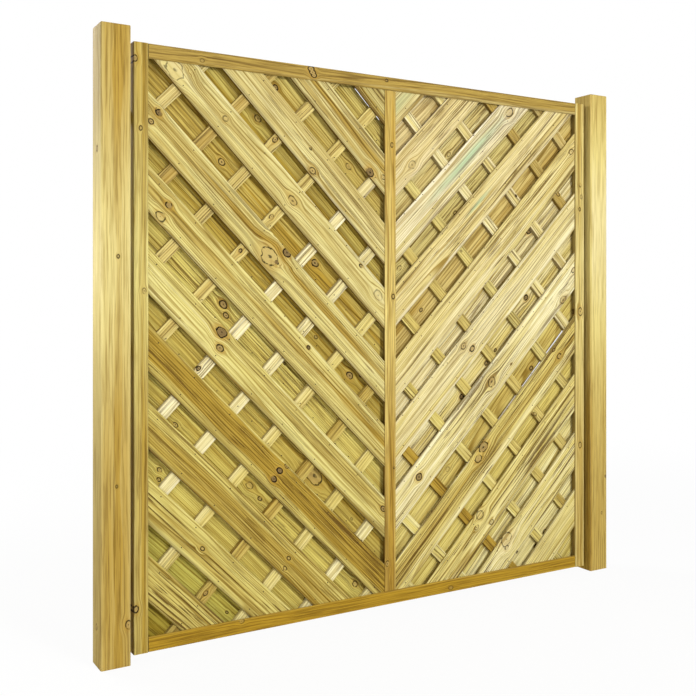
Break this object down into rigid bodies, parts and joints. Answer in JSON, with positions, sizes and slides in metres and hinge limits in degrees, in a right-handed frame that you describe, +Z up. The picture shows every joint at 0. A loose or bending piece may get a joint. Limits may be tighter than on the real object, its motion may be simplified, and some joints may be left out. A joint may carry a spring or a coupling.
{
  "type": "fence panel",
  "caption": "Framed double-sided garden screen of slanting boards over cross slats, grooved into stiles, rails and a muntin, hung between two square posts.",
  "frame": {"origin": "on the ground, midway between the two posts, in the middle of the panel's depth", "axes": "+X along the panel to the right as seen from the front, -Y out of the front, +Z up"},
  "size_m": [2.006, 0.088, 1.859],
  "materials": {
    "front_board_wood": "rough-sawn, pressure-treated softwood",
    "rear_board_wood": "rough-sawn, pressure-treated softwood",
    "slat_wood": "rough-sawn, pressure-treated softwood",
    "frame_wood": "planed, pressure-treated softwood",
    "post_wood": "planed, pressure-treated softwood",
    "galvanised_steel": "dull zinc"
  },
  "bodies": {
    "root": {"bracket_left_1": "galvanised_steel", "bracket_left_2": "galvanised_steel", "bracket_left_3": "galvanised_steel", "bracket_right_1": "galvanised_steel", "bracket_right_2": "galvanised_steel", "bracket_right_3": "galvanised_steel", "front_board_left_01": "front_board_wood", "front_board_left_02": "front_board_wood", "front_board_left_03": "front_board_wood", "front_board_left_04": "front_board_wood", "front_board_left_05": "front_board_wood", "front_board_left_06": "front_board_wood", "front_board_left_07": "front_board_wood", "front_board_left_08": "front_board_wood", "front_board_left_09": "front_board_wood", "front_board_left_10": "front_board_wood", "front_board_left_11": "front_board_wood", "front_board_right_01": "front_board_wood", "front_board_right_02": "front_board_wood", "front_board_right_03": "front_board_wood", "front_board_right_04": "front_board_wood", "front_board_right_05": "front_board_wood", "front_board_right_06": "front_board_wood", "front_board_right_07": "front_board_wood", "front_board_right_08": "front_board_wood", "front_board_right_09": "front_board_wood", "front_board_right_10": "front_board_wood", "front_board_right_11": "front_board_wood", "muntin": "frame_wood", "post_left": "post_wood", "post_right": "post_wood", "rail_bottom": "frame_wood", "rail_top": "frame_wood", "rear_board_left_01": "rear_board_wood", "rear_board_left_02": "rear_board_wood", "rear_board_left_03": "rear_board_wood", "rear_board_left_05": "rear_board_wood", "rear_board_left_06": "rear_board_wood", "rear_board_left_07": "rear_board_wood", "rear_board_left_09": "rear_board_wood", "rear_board_left_10": "rear_board_wood", "rear_board_left_11": "rear_board_wood", "rear_board_right_01": "rear_board_wood", "rear_board_right_02": "rear_board_wood", "rear_board_right_03": "rear_board_wood", "rear_board_right_05": "rear_board_wood", "rear_board_right_06": "rear_board_wood", "rear_board_right_07": "rear_board_wood", "rear_board_right_09": "rear_board_wood", "rear_board_right_10": "rear_board_wood", "rear_board_right_11": "rear_board_wood", "slat_lattice_left": "slat_wood", "slat_lattice_right": "slat_wood", "stile_left": "frame_wood", "stile_right": "frame_wood"}
  },
  "joints": []
}
